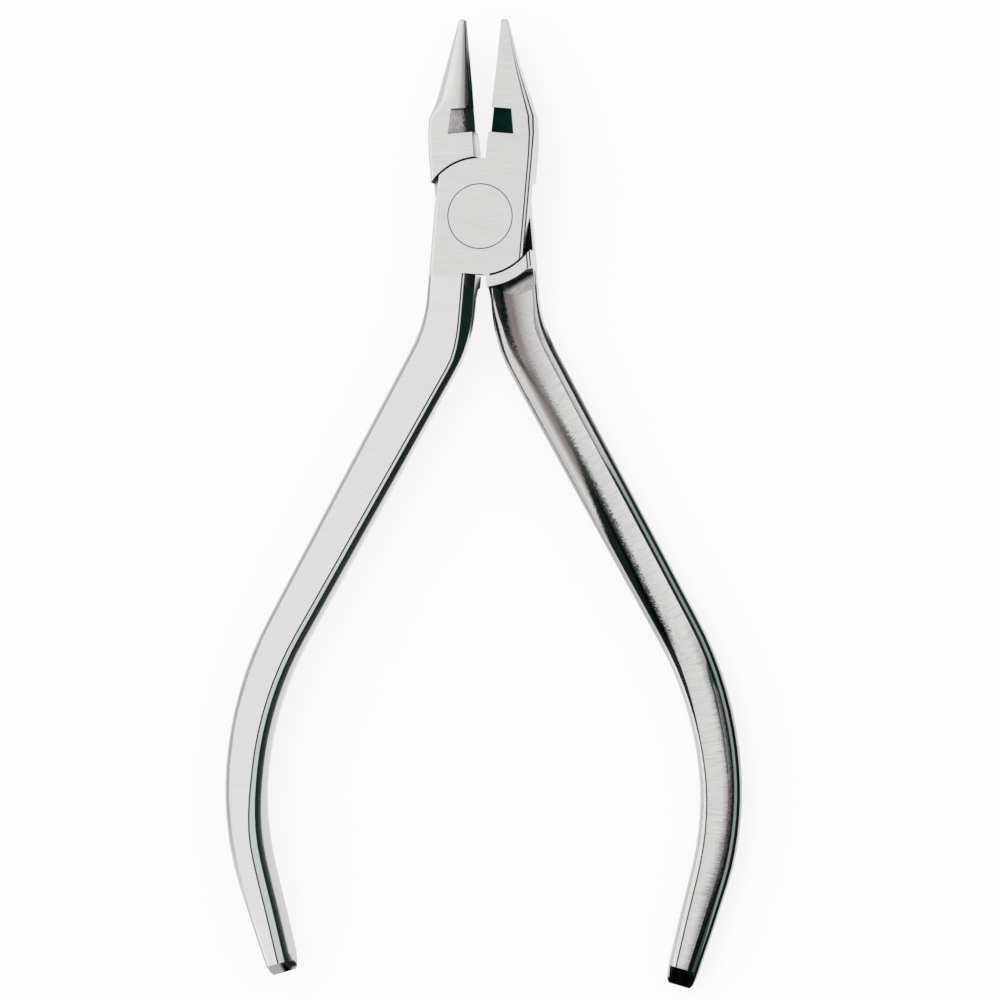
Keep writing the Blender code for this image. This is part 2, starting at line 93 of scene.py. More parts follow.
# Colours of bare steel: polished, ground across, left as forged and rosy, or milled, and painted
# reflection, light and shade on it
POLISHED = "#EDEDED"
PAINTED_BEVEL_REFLECTION = "#BECAC7"
PAINTED_EDGE_SHADE = "#858585"
PAINTED_CUT_LIGHT = "#CCCCCC"
HOLLOW_MARK = "#A8A0A0"
PAINTED_HOLLOW_SHADE = "#8A7E80"
FORGED_DARK = "#CFC4C5"
FORGED_LIGHT = "#F6F0F0"
PAINTED_WALL_LIGHT = "#FAF6F4"
PAINTED_WALL_SHADE = "#9A908E"
PAINTED_FOOT_SHADE = "#A89C9A"
PAINTED_LIP_LIGHT = "#8C9A98"
MILLED_DARK = "#B3ADAE"
MILLED_LIGHT = "#E0DCDC"
PAINTED_LIGHT_BESIDE_GAP = "#E2E2E2"

# Colours of painted shade, standing in for the dark room that the steel mirrors: dark and a little
# green, brown or grey where lighter
PAINTED_CONE_TIP_SHADE = "#A6A8A7"
PAINTED_CONE_SHADE = "#033A2E"
PAINTED_GAP_SHADE = "#04160F"
PAINTED_COVE_SHADE = "#03241C"
PAINTED_COMB_BROWN = "#463D3A"
PAINTED_COMB_GREEN = "#12261F"
BOW_SHADE = "#353A39"
PAINTED_LIP_SHADE = "#3A4F4B"
PAINTED_FRONT_CUT_SHADE = "#0E2C25"
PAINTED_BACK_CUT_SHADE = "#06261F"
PAINTED_RECESS_SHADE = "#04281F"
PAINTED_SHADE_DARK = "#021F17"
PAINTED_SHADE_LIGHT = "#022A21"

# Colours of the studio
WHITE = "#FFFFFF"
PAPER = "#F7F7F7"
ROSY_SKY = "#C9BEC0"
DARK_TABLE = "#04281F"

# The picture: its size, the pliers' length in it and in life, the pivot's place in it and in the
# frame, and the nearest and farthest that the camera sees
IMAGE_PIXELS = 1000
PLIERS_PIXELS = 966
PLIERS_LENGTH = 130.0 * MM
PIXEL_SIZE = PLIERS_LENGTH / PLIERS_PIXELS
PIVOT_PIXEL = (483.5, 217.0)
PIVOT_MIDDLE = Vector((0.0, 0.0, MID))
CLIP_NEAR = 0.01
CLIP_FAR = 20.0

# The white paper: its right and lower edges, which fade into the dark table, the share of its
# white that needs no lamp, its size and how far it lies under the pliers
PAPER_RIGHT = 42.0 * MM
PAPER_LOW = -112.0 * MM
PAPER_FADE = 8.0 * MM
PAPER_GLOW = 0.85
FLOOR_SIZE = 4.0
FLOOR_DROP = 0.1 * MM

# Deep shade on the paper that the steel mirrors: middle and half size of each patch
SHADE_PATCHES = (((0.6 * MM, 17.0 * MM), (3.6 * MM, 6.5 * MM)),
                 ((-1.8 * MM, -11.5 * MM), (2.0 * MM, 5.5 * MM)))

# The dark band on the table beside the right handle: its ends, the curve's full width, the
# shares of that width at which it starts and ends, and the points of the handle's line it takes
BAND_TOP = -14.0 * MM
BAND_BOTTOM = -112.0 * MM
BAND_WIDTH = 50.0 * MM
BAND_ENDS = (0.14, 0.5)
BAND_POINTS = slice(20, None, 10)

# Share of light left after each further mirroring in a narrow gap, and the direction in which
# the room is dark
LIGHT_LEFT = 0.12
DARK_DIRECTION = (0.85, -0.53, 0.0)

# The lamp, high up behind the tips on the left
LAMP_PLACE = (-0.5, 0.35, 1.1)
LAMP_SIZE = 0.6
LAMP_POWER = 2.0


# Colour and node helpers
def linear(code):
    """A hex sRGB colour as linear red, green, blue and alpha."""
    values = [int(code[i:i + 2], 16) / 255 for i in (1, 3, 5)]
    values = [v / 12.92 if v <= 0.04045 else ((v + 0.055) / 1.055) ** 2.4 for v in values]
    return (*values, 1.0)


def add_node(tree, kind, settings=(), inputs=()):
    """Add one node; an input is a value, or another node's output to link."""
    node = tree.nodes.new(kind)
    for name, value in dict(settings).items():
        setattr(node, name, value)
    for name, value in dict(inputs).items():
        if isinstance(value, bpy.types.NodeSocket):
            tree.links.new(value, node.inputs[name])
        else:
            node.inputs[name].default_value = value
    return node


def new_material(name):
    """A material with no nodes yet, and its node tree."""
    material = bpy.data.materials.new(name)
    material.use_nodes = True
    material.node_tree.nodes.clear()
    return material, material.node_tree


def fade(tree, value, start, end, before, after):
    """A share that goes smoothly from one size to another between two places."""
    node = add_node(tree, "ShaderNodeMapRange", {"interpolation_type": "SMOOTHSTEP"}, {
        "Value": value, "From Min": start, "From Max": end, "To Min": before, "To Max": after})
    return node.outputs["Result"]


def rise(tree, value, start, end):
    """0 before one place and 1 past another."""
    return fade(tree, value, start, end, 0.0, 1.0)


def fall(tree, value, start, end):
    """1 before one place and 0 past another."""
    return fade(tree, value, start, end, 1.0, 0.0)


def product(tree, first, *more):
    """Shares multiplied, so that each limits the others."""
    for share in more:
        node = add_node(tree, "ShaderNodeMath", {"operation": "MULTIPLY"}, {0: first, 1: share})
        first = node.outputs["Value"]
    return first


def largest(tree, first, *more):
    """The largest share at each point."""
    for share in more:
        node = add_node(tree, "ShaderNodeMath", {"operation": "MAXIMUM"}, {0: first, 1: share})
        first = node.outputs["Value"]
    return first


def smallest(tree, first, *more):
    """The smallest share at each point."""
    for share in more:
        node = add_node(tree, "ShaderNodeMath", {"operation": "MINIMUM"}, {0: first, 1: share})
        first = node.outputs["Value"]
    return first


def moved(tree, value, shift, times=1.0):
    """A value moved by a shift, which is taken some number of times."""
    node = add_node(tree, "ShaderNodeMath", {"operation": "MULTIPLY_ADD"}, {
        0: shift, 1: times, 2: value})
    return node.outputs["Value"]


def window(tree, value, low, high, fading):
    """1 between two values, fading to 0 past them."""
    return product(tree, rise(tree, value, low - fading, low),
                   fall(tree, value, high, high + fading))


def tint(tree, share, colour, other):
    """A colour turned to another by a share; each is a hex code, a value or an output."""
    colour, other = (linear(c) if isinstance(c, str) else c for c in (colour, other))
    node = add_node(tree, "ShaderNodeMix", {"data_type": "RGBA"}, {0: share, 6: colour, 7: other})
    return node.outputs[2]


def grain_place(tree):
    """Place on a half, as distances across it, down its line and up from the back face."""
    node = add_node(tree, "ShaderNodeAttribute", {"attribute_name": "grain_place"})
    return node.outputs["Vector"]


def half_place(tree):
    """The three distances of the place on a half, one by one."""
    return add_node(tree, "ShaderNodeSeparateXYZ", {}, {"Vector": grain_place(tree)}).outputs


def ragged(tree, value, noise, reach):
    """A place made ragged by the grinding streaks, over a reach."""
    return moved(tree, value, moved(tree, noise, -0.5), reach)


def streaks(tree, across, along, detail, seed):
    """Noise drawn out into grinding streaks of a real size across and along the half."""
    seeded = add_node(tree, "ShaderNodeVectorMath", {"operation": "ADD"}, {
        0: grain_place(tree), 1: (seed * MM, seed * MM, 0.0)})
    stretched = add_node(tree, "ShaderNodeVectorMath", {"operation": "MULTIPLY"}, {
        0: seeded.outputs["Vector"], 1: (1.0 / across, 1.0 / along, 1.0 / min(across, along))})
    noise = add_node(tree, "ShaderNodeTexNoise", {}, {
        "Vector": stretched.outputs["Vector"], "Scale": 1.0, "Detail": detail, "Roughness": 0.6})
    return noise.outputs["Fac"]


def surface(tree, colour, metallic, roughness, **more):
    """The shader and the output that end a piece's material."""
    shader = add_node(tree, "ShaderNodeBsdfPrincipled", {}, {
        "Base Color": colour, "Metallic": metallic, "Roughness": roughness, **more})
    add_node(tree, "ShaderNodeOutputMaterial", {}, {"Surface": shader.outputs["BSDF"]})


def leaning_normal(tree, lean):
    """The surface's normal, leaning sideways by a slope."""
    sideways = add_node(tree, "ShaderNodeCombineXYZ", {}, {"X": lean})
    normal = add_node(tree, "ShaderNodeVectorMath", {"operation": "ADD"}, {
        0: add_node(tree, "ShaderNodeNewGeometry").outputs["Normal"],
        1: sideways.outputs["Vector"]})
    normal = add_node(tree, "ShaderNodeVectorMath", {"operation": "NORMALIZE"}, {
        0: normal.outputs["Vector"]})
    return normal.outputs["Vector"]


# Satin stainless steel: ground with a belt across the flat faces, so they scatter softly and
# carry fine streaks, and buffed on the flanks, which mirror the room. Real belt marks are a few
# hundredths of a millimetre wide, and are drawn as wide as a pixel so that they show
def ground_steel(name, steel, lengthwise=False, shade=None):
    """The steel; shade changes its colour and lean, and tells how dull it is."""
    material, tree = new_material(name)
    sizes = (steel.grain_length, steel.grain_width)
    if lengthwise:
        sizes = sizes[::-1]
    fine = streaks(tree, *sizes, detail=4.0, seed=3.0)
    coarse = streaks(tree, *(size * COARSE_GRAIN for size in sizes), detail=3.0, seed=11.0)
    normal = add_node(tree, "ShaderNodeTexCoord").outputs["Normal"]
    facing = add_node(tree, "ShaderNodeSeparateXYZ", {}, {"Vector": normal}).outputs
    upright = largest(tree, facing["Z"], product(tree, facing["Z"], -1.0))
    flat = rise(tree, upright, *FLAT_FACING)
    grain = fade(tree, moved(tree, fine, coarse), *GRAIN_RANGE, -1.0, 1.0)
    streak = product(tree, grain, flat)
    light = tuple(min(1.0, c * STREAK_LIGHT) for c in steel.face_colour[:3]) + (1.0,)
    dark = tuple(c * STREAK_DARK for c in steel.face_colour[:3]) + (1.0,)
    colour = tint(tree, rise(tree, streak, -1.0, 1.0), dark, light)
    lean = product(tree, moved(tree, fine, -0.5), steel.grain_lean)
    metallic = 1.0
    if shade is not None:
        colour, lean, dull = shade(tree, colour, lean, fine, half_place(tree), facing)
        metallic = moved(tree, 1.0, dull, -1.0)
    rough = fade(tree, flat, 0.0, 1.0, steel.flank_roughness, steel.face_roughness)
    rough = moved(tree, rough, streak, STREAK_ROUGHNESS)
    surface(tree, colour, metallic, rough, Normal=leaning_normal(tree, lean))
    return material


# Places on the halves, each a share from 0 to 1. Place is where a point lies: X across the half,
# Y down its line from the pivot and Z up from the back face. Facing is the normal in the shared
# frame: X to the picture's right, Y towards the beaks and Z towards the photographed face
def end_cut(tree, place, facing):
    """The slanting cut at a handle's end, where shade is painted."""
    facing_down = fall(tree, facing["Y"], -0.5, -0.42)
    at_end = rise(tree, place["Y"], 103.0 * MM, 105.0 * MM)
    return product(tree, facing_down, at_end)


def polished_handle(tree, place, fine):
    """The front half below the joint."""
    return rise(tree, ragged(tree, place["Y"], fine, 1.5 * MM), 7.65 * MM, 9.45 * MM)


def bevel_strip(tree, place, facing):
    """The front handle's bevel, where a reflection is painted, stronger further down."""
    on_bevel = window(tree, facing["X"], 0.15, 0.3, 0.04)
    strength = fade(tree, place["Y"], 30.0 * MM, 80.0 * MM, 0.3, 0.8)
    return product(tree, on_bevel, strength)


def outer_edge_shade(tree, place):
    """A soft line of painted shade beside the front handle's outer edge, fainter at its low end.
    """
    inset = moved(tree, place["X"], place["Y"], -0.0069)
    line = window(tree, inset, -3.0 * MM, -2.82 * MM, 0.16 * MM)
    strength = fade(tree, place["Y"], 85.0 * MM, 100.0 * MM, 0.72, 0.25)
    return product(tree, line, strength)


def jaw_gap(tree, place, facing):
    """The back jaw's side towards the gap, above the joint, where shade is painted, stronger near
    the front.
    """
    above_joint = window(tree, place["Y"], -11.4 * MM, -7.0 * MM, 0.1 * MM)
    to_gap = rise(tree, facing["X"], 0.85, 0.95)
    strength = fade(tree, place["Z"], 4.4 * MM, 6.2 * MM, 0.15, 1.0)
    return product(tree, above_joint, to_gap, strength)


def rosy_hollow_shade(tree, place):
    """Painted rosy shade on the hollow's floor under the cove, fainter down the handle and towards
    the lip.
    """
    under_cove = rise(tree, place["Y"], 9.6 * MM, 10.4 * MM)
    down = fall(tree, place["Y"], 14.0 * MM, 30.0 * MM)
    across = fade(tree, place["X"], -1.1 * MM, 2.1 * MM, 0.8, 0.05)
    off_wall = rise(tree, place["X"], -1.9 * MM, -1.5 * MM)
    return product(tree, under_cove, down, across, off_wall)


def comb_shade_band(tree, place, fine):
    """A band of painted shade along the foot of the hollow's wall, combed by the streaks on its
    outer side.
    """
    foot = fade(tree, place["Y"], 34.0 * MM, 70.0 * MM, -0.8 * MM, -1.9 * MM)
    past_foot = moved(tree, ragged(tree, place["X"], fine, -2.2 * MM), foot, -1.0)
    combed = fade(tree, past_foot, 0.2 * MM, 0.95 * MM, 0.96, 0.0)
    length = window(tree, place["Y"], 14.0 * MM, 60.0 * MM, 5.0 * MM)
    strength = fade(tree, place["Y"], 14.0 * MM, 38.0 * MM, 0.45, 1.0)
    from_foot = moved(tree, place["X"], foot, -1.0)
    off_wall = fade(tree, from_foot, -0.6 * MM, -0.1 * MM, 0.3, 1.0)
    return product(tree, combed, length, strength, off_wall)


def bow_side(tree, place, fine):
    """The outer side of the hollow's lower bow, jagged and widest near the handle's end."""
    wider = fade(tree, place["Y"], 84.0 * MM, 98.0 * MM, 0.0, 0.5 * MM)
    jagged = moved(tree, ragged(tree, place["X"], fine, 1.6 * MM), wider)
    strength = fade(tree, place["Y"], 58.0 * MM, 72.0 * MM, 0.0, 0.7)
    return product(tree, strength, rise(tree, jagged, 0.4 * MM, 1.7 * MM))


def lip_facet(tree, place, facing):
    """The lip's middle facet, from the straight stretch down, where shade is painted."""
    on_facet = window(tree, facing["X"], 0.15, 0.32, 0.05)
    down = rise(tree, place["Y"], 30.0 * MM, 46.0 * MM)
    outer_side = rise(tree, place["X"], 1.0 * MM, 1.3 * MM)
    return product(tree, on_facet, down, outer_side)


def lip_line(tree, place):
    """A strip of painted light along the middle of the lip's facet."""
    across = moved(tree, place["X"], place["Y"], 0.0067)
    return window(tree, across, 2.61 * MM, 2.85 * MM, 0.1 * MM)


def cove_face(tree, place, facing):
    """The curved cove under the joint."""
    slanting = fall(tree, facing["Z"], 0.8, 0.88)
    facing_down = fall(tree, facing["Y"], -0.4, -0.3)
    length = window(tree, place["Y"], 8.0 * MM, 13.4 * MM, 0.3 * MM)
    return product(tree, slanting, facing_down, length)


def wall_foot(tree, place, across):
    """The edge between the hollow's wall and its floor, under the cove, where shade is painted."""
    at_foot = window(tree, across, -1.0 * MM, -0.45 * MM, 0.2 * MM)
    under_cove = window(tree, place["Y"], 12.0 * MM, 19.0 * MM, 3.0 * MM)
    return product(tree, at_foot, under_cove, 0.6)


def painted_wall(tree, place, facing, across):
    """The part of the hollow's wall that is a long triangle, between two slanting lines, painted
    light at its top and shade lower down.
    """
    upper = moved(tree, -3.46 * MM, place["Y"], 0.085)
    lower = moved(tree, 2.72 * MM, place["Y"], -0.1145)
    limit = smallest(tree, upper, lower, -1.2 * MM)
    inside = fall(tree, moved(tree, across, limit, -1.0), 0.0, 0.35 * MM)
    steep = rise(tree, facing["X"], 0.32, 0.42)
    under_cove = rise(tree, place["Y"], 14.0 * MM, 17.0 * MM)
    return product(tree, inside, steep, under_cove)


def front_finish(tree, colour, lean, fine, place, facing):
    """The handle is polished brighter than the ground joint, with a painted teal reflection on its
    bevel and a painted shade line by its outer edge; its cut has painted shade, with painted light
    at left.
    """
    handle = polished_handle(tree, place, fine)
    bevel = product(tree, bevel_strip(tree, place, facing), handle)
    line = product(tree, outer_edge_shade(tree, place), handle)
    colour = tint(tree, product(tree, handle, 0.28), colour, POLISHED)
    # Painted reflection: a teal-grey tint on the bevel
    colour = tint(tree, bevel, colour, PAINTED_BEVEL_REFLECTION)
    # Painted shade: a soft grey line beside the outer edge
    colour = tint(tree, line, colour, PAINTED_EDGE_SHADE)
    # Painted shade darkens the cut at the handle's end, and painted light turns its left part matt
    # light grey
    cut = end_cut(tree, place, facing)
    colour = tint(tree, cut, colour, PAINTED_FRONT_CUT_SHADE)
    left = fall(tree, ragged(tree, place["X"], fine, 0.8 * MM), -0.4 * MM, 0.2 * MM)
    dull = product(tree, cut, left)
    return tint(tree, dull, colour, PAINTED_CUT_LIGHT), lean, dull


def cone_finish(tree, colour, lean, fine, place, facing):
    """The side towards the gap gets painted shade: dark green, turning to grey before the tip."""
    side = rise(tree, facing["X"], 0.74, 0.8)
    deep_shade = rise(tree, ragged(tree, place["Y"], fine, 2.0 * MM), -23.5 * MM, -20.0 * MM)
    # Painted shade on the side towards the gap
    colour = tint(tree, side, colour, tint(tree, deep_shade, PAINTED_CONE_TIP_SHADE, PAINTED_CONE_SHADE))
    return colour, lean, product(tree, side, 0.8)


def neck_finish(tree, colour, fine, place, facing):
    """The cove and the wall below it are matt and rosy as forged, with painted shade at the cove's
    top and the wall's foot, and painted light at the wall's top.
    """
    across = ragged(tree, place["X"], fine, -1.2 * MM)
    slant = moved(tree, place["Y"], across, 0.48)
    upper_shade = fall(tree, slant, 9.5 * MM, 10.3 * MM)
    forged = tint(tree, rise(tree, fine, 0.4, 0.6), FORGED_DARK, FORGED_LIGHT)
    cove = cove_face(tree, place, facing)
    # Painted shade at the cove's top
    colour = tint(tree, cove, colour, tint(tree, upper_shade, forged, PAINTED_COVE_SHADE))
    foot = wall_foot(tree, place, across)
    # Painted shade at the wall's foot
    colour = tint(tree, foot, colour, PAINTED_FOOT_SHADE)
    wall = painted_wall(tree, place, facing, across)
    down_wall = rise(tree, place["X"], -2.2 * MM, -1.2 * MM)
    # Painted light at the wall's top, painted shade lower down
    colour = tint(tree, wall, colour, tint(tree, down_wall, PAINTED_WALL_LIGHT, PAINTED_WALL_SHADE))
    return colour, largest(tree, cove, foot, wall)


def back_finish(tree, colour, lean, fine, place, facing):
    """Painted shade at the jaw's gap, under the cove, along the hollow's wall, on the lip and the
    cut; ground marks in the rough hollow; painted light on the lip's strip and the wall.
    """
    # Painted shade on the jaw's side towards the gap
    colour = tint(tree, jaw_gap(tree, place, facing), colour, PAINTED_GAP_SHADE)
    hollow = rise(tree, place["Y"], 10.0 * MM, 12.0 * MM)
    marks = product(tree, hollow, fade(tree, fine, 0.5, 0.68, 0.0, 0.4))
    colour = tint(tree, marks, colour, HOLLOW_MARK)
    # Painted rosy shade on the hollow's floor under the cove
    colour = tint(tree, rosy_hollow_shade(tree, place), colour, PAINTED_HOLLOW_SHADE)
    greener = rise(tree, place["Y"], 28.0 * MM, 38.0 * MM)
    # Painted shade in a comb along the wall's foot, brown up the handle and green lower down
    comb_shade = tint(tree, greener, PAINTED_COMB_BROWN, PAINTED_COMB_GREEN)
    colour = tint(tree, comb_shade_band(tree, place, fine), colour, comb_shade)
    colour = tint(tree, bow_side(tree, place, fine), colour, BOW_SHADE)
    # Painted shade and a painted light strip on the lip's facet
    lip = tint(tree, lip_line(tree, place), PAINTED_LIP_SHADE, PAINTED_LIP_LIGHT)
    colour = tint(tree, lip_facet(tree, place, facing), colour, lip)
    # Painted shade on the cut at the handle's end
    colour = tint(tree, end_cut(tree, place, facing), colour, PAINTED_BACK_CUT_SHADE)
    colour, dull = neck_finish(tree, colour, fine, place, facing)
    lean = product(tree, lean, fade(tree, hollow, 0.0, 1.0, 1.0, HOLLOW_LEAN))
    return colour, lean, dull


# Milled stainless steel in the recess beside the round beak: never polished, so it is matt and
# rosy with upright tool marks, as wide as a pixel to show, and painted shade near the gap and
# along its top edge
def milled_recess(name):
    material, tree = new_material(name)
    marks = streaks(tree, across=0.12 * MM, along=0.7 * MM, detail=5.0, seed=5.0)
    place = half_place(tree)
    colour = tint(tree, rise(tree, marks, 0.38, 0.6), MILLED_DARK, MILLED_LIGHT)
    # Painted shade near the gap and along the top edge
    near_gap = rise(tree, ragged(tree, place["X"], marks, 2.4 * MM),
                    HANDLE_START - 1.6 * MM, HANDLE_START - 1.2 * MM)
    at_top = fall(tree, place["Y"], -CUTTER_TOP, -CUTTER_TOP + 0.3 * MM)
    colour = tint(tree, largest(tree, near_gap, at_top), colour, PAINTED_RECESS_SHADE)
    surface(tree, colour, metallic=0.0, roughness=0.75)
    return material


# Painted shade in the square beak's recess and on the lapped faces: nearly black, a little green,
# with faint marks, and painted light beside the gap
def painted_shade_black(name):
    material, tree = new_material(name)
    marks = streaks(tree, across=0.5 * MM, along=0.2 * MM, detail=3.0, seed=9.0)
    place = half_place(tree)
    colour = tint(tree, rise(tree, marks, 0.35, 0.65), PAINTED_SHADE_DARK, PAINTED_SHADE_LIGHT)
    # Painted light beside the gap
    lit_beside_gap = fall(tree, place["X"], HANDLE_START - 5.7 * MM, HANDLE_START - 5.4 * MM)
    surface(tree, tint(tree, lit_beside_gap, colour, PAINTED_LIGHT_BESIDE_GAP), metallic=0.0, roughness=1.0,
            **{"Specular IOR Level": 0.08})
    return material


# Pieces
def only_select(piece):
    """Select one piece and nothing else, for the operators that follow."""
    bpy.ops.object.select_all(action="DESELECT")
    bpy.context.view_layer.objects.active = piece
    piece.select_set(True)


def handle_line():
    """Points down a handle that lies to the left: place, direction and distance along."""
    x, y, angle, length = HANDLE_START, 0.0, 0.0, 0.0
    points = []
    for stretch, turn in HANDLE_STRETCHES:
        steps = round(stretch / HANDLE_STEP)
        for _ in range(steps):
            points.append((x, y, angle, length))
            angle += math.radians(turn) / steps
            x -= math.sin(angle) * stretch / steps
            y -= math.cos(angle) * stretch / steps
            length += stretch / steps
    return points


def mark_places(piece, opening, handle_side):
    """Store each point's distance across the half, down its line and up from the back face."""
    line = handle_line()
    close = Matrix.Rotation(-opening, 3, "Z")
    places = piece.data.attributes.new("grain_place", "FLOAT_VECTOR", "POINT")
    for vertex, place in zip(piece.data.vertices, places.data):
        point = close @ vertex.co
        u = -point.x * handle_side
        if point.y > 0.0:
            across, along = u - HANDLE_START, -point.y
        else:
            x, y, angle, length = min(line, key=lambda p: (p[0] - u) ** 2 + (p[1] - point.y) ** 2)
            across = (u - x) * math.cos(angle) - (point.y - y) * math.sin(angle)
            along = length - (u - x) * math.sin(angle) - (point.y - y) * math.cos(angle)
        place.vector = (-across * handle_side, along, point.z)


def give_faces(piece, opening, material, chosen):
    """Give a finish to faces chosen by their middle and normal, the half taken as closed."""
    close = Matrix.Rotation(-opening, 3, "Z")
    piece.data.materials.append(material)
    for face in piece.data.polygons:
        if chosen(close @ face.center, close @ face.normal):
            face.material_index = len(piece.data.materials) - 1


def in_lap(middle, normal):
    """A flat face where the halves lap, round the pivot."""
    near = abs(middle.z - MID) < LAP_REACH and math.hypot(middle.x, middle.y) < LAP_RADIUS
    return near and abs(normal.z) > LAP_UPRIGHT


def in_recess(middle, normal):
    """A face of the cutter recess that slants to one side."""
    inside = CUTTER_BOTTOM < middle.y < CUTTER_TOP and abs(middle.x) < CUTTER_REACH
    slanting = RECESS_LEAN[0] < abs(normal.z) < RECESS_LEAN[1]
    return inside and slanting and abs(normal.x) > RECESS_SIDE_LEAN


def in_cone(middle, normal):
    """A face of the round beak."""
    return middle.y > CONE_START


def finished_copy(name, node, body, material, opening, handle_side):
    """The forged piece with its facets merged, shaded round and given its steel."""
    piece = bpy.data.objects.new(name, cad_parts[node].data.copy())
    bpy.context.scene.collection.objects.link(piece)
    piece.data.name = name
    only_select(piece)
    bpy.ops.mesh.customdata_custom_splitnormals_clear()
    bpy.ops.object.shade_flat()
    bpy.ops.object.mode_set(mode="EDIT")
    bpy.ops.mesh.select_all(action="SELECT")
    bpy.ops.mesh.remove_doubles(threshold=MERGE_DISTANCE)
    bpy.ops.mesh.dissolve_limited(angle_limit=FLAT_ANGLE, delimit={"NORMAL"})
    bpy.ops.object.mode_set(mode="OBJECT")
    bpy.ops.object.shade_smooth_by_angle(angle=SHARP_ANGLE)
    weighted = piece.modifiers.new("even shading", "WEIGHTED_NORMAL")
    weighted.keep_sharp = True
    bpy.ops.object.modifier_apply(modifier=weighted.name)
    piece.data.materials.clear()
    piece.data.materials.append(material)
    mark_places(piece, opening, handle_side)
    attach(piece, body)
    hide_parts(node)
    return piece


class PliersSteel(bpy.types.PropertyGroup):
    """Colours and finish of the steel"""

    face_colour: bpy.props.FloatVectorProperty(
        name="Face colour", description="Colour of the ground steel", subtype="COLOR",
        size=4, min=0.0, max=1.0, default=linear("#D6D6D5"))
    face_roughness: bpy.props.FloatProperty(
        name="Face roughness", description="How softly the ground faces reflect",
        subtype="FACTOR", min=0.0, max=1.0, default=0.3)
    flank_roughness: bpy.props.FloatProperty(
        name="Flank roughness", description="How softly the buffed flanks reflect",
        subtype="FACTOR", min=0.0, max=1.0, default=0.13)
    grain_length: bpy.props.FloatProperty(
        name="Grain length", description="Length of a grinding streak", unit="LENGTH",
        min=0.0, default=3.0 * MM)
    grain_width: bpy.props.FloatProperty(
        name="Grain width", description="Width of a grinding streak", unit="LENGTH",
        min=0.0, default=0.12 * MM)
    grain_lean: bpy.props.FloatProperty(
        name="Grain lean", description="How far a streak leans sideways, as a slope",
        min=0.0, max=0.5, default=0.02)


class PliersStage(bpy.types.PropertyGroup):
    """Camera, floor and light"""

    camera_distance: bpy.props.FloatProperty(
        name="Camera distance", description="From the camera to the pliers", unit="LENGTH",
        min=0.1, default=1.2)
    camera_tilt: bpy.props.FloatProperty(
        name="Camera tilt", description="Lean of the camera towards the square beak's side",
        subtype="ANGLE", default=math.radians(7.0))
    dark_colour: bpy.props.FloatVectorProperty(
        name="Dark side", description="Colour of the table and of the room's dark side",
        subtype="COLOR", size=4, min=0.0, max=1.0, default=linear(DARK_TABLE))


class PLIERS_OT_front_half(bpy.types.Operator):
    """Finish the half with the square beak"""

    bl_idname = "pliers.front_half"
    bl_label = "Front half"

    def execute(self, context):
        steel = context.scene.pliers_steel
        material = ground_steel("satin_ground_stainless_front", steel, shade=front_finish)
        piece = finished_copy("front_half_steel", "front_half", "front",
                              material, -HALF_OPENING, -1)
        black = painted_shade_black("painted_shade_front")
        give_faces(piece, -HALF_OPENING, black, in_recess)
        give_faces(piece, -HALF_OPENING, black, in_lap)
        return {"FINISHED"}


class PLIERS_OT_back_half(bpy.types.Operator):
    """Finish the half with the round beak"""

    bl_idname = "pliers.back_half"
    bl_label = "Back half"

    def execute(self, context):
        steel = context.scene.pliers_steel
        material = ground_steel("satin_ground_stainless_back", steel, shade=back_finish)
        piece = finished_copy("back_half_steel", "back_half", "back",
                              material, HALF_OPENING, 1)
        cone = ground_steel("lengthwise_ground_stainless_beak", steel, lengthwise=True,
                            shade=cone_finish)
        give_faces(piece, HALF_OPENING, cone, in_cone)
        give_faces(piece, HALF_OPENING, milled_recess("milled_stainless_recess"), in_recess)
        give_faces(piece, HALF_OPENING, painted_shade_black("painted_shade_back"), in_lap)
        return {"FINISHED"}


class PLIERS_OT_pivot_rivet(bpy.types.Operator):
    """Finish the rivet that is ground flush with the joint"""

    bl_idname = "pliers.pivot_rivet"
    bl_label = "Pivot rivet"

    def execute(self, context):
        steel = context.scene.pliers_steel
        material = ground_steel("satin_ground_stainless_rivet", steel)
        finished_copy("pivot_rivet_steel", "pivot_rivet", "front",
                      material, -HALF_OPENING, -1)
        return {"FINISHED"}


# Studio
def gap_loss(tree, path, first):
    """How much light is left after each mirroring past the first, as in a narrow gap."""
    more = largest(tree, moved(tree, path["Ray Depth"], -first), 0.0)
    left = add_node(tree, "ShaderNodeMath", {"operation": "POWER"}, {0: LIGHT_LEFT, 1: more})
    return left.outputs["Value"]


def patch(tree, place, middle, size):
    """1 inside an oval, fading to 0 at its rim."""
    squares = []
    for axis, centre, half in zip("XY", middle, size):
        offset = product(tree, moved(tree, place[axis], -centre), 1.0 / half)
        squares.append(product(tree, offset, offset))
    return fall(tree, moved(tree, *squares), 0.5, 1.0)


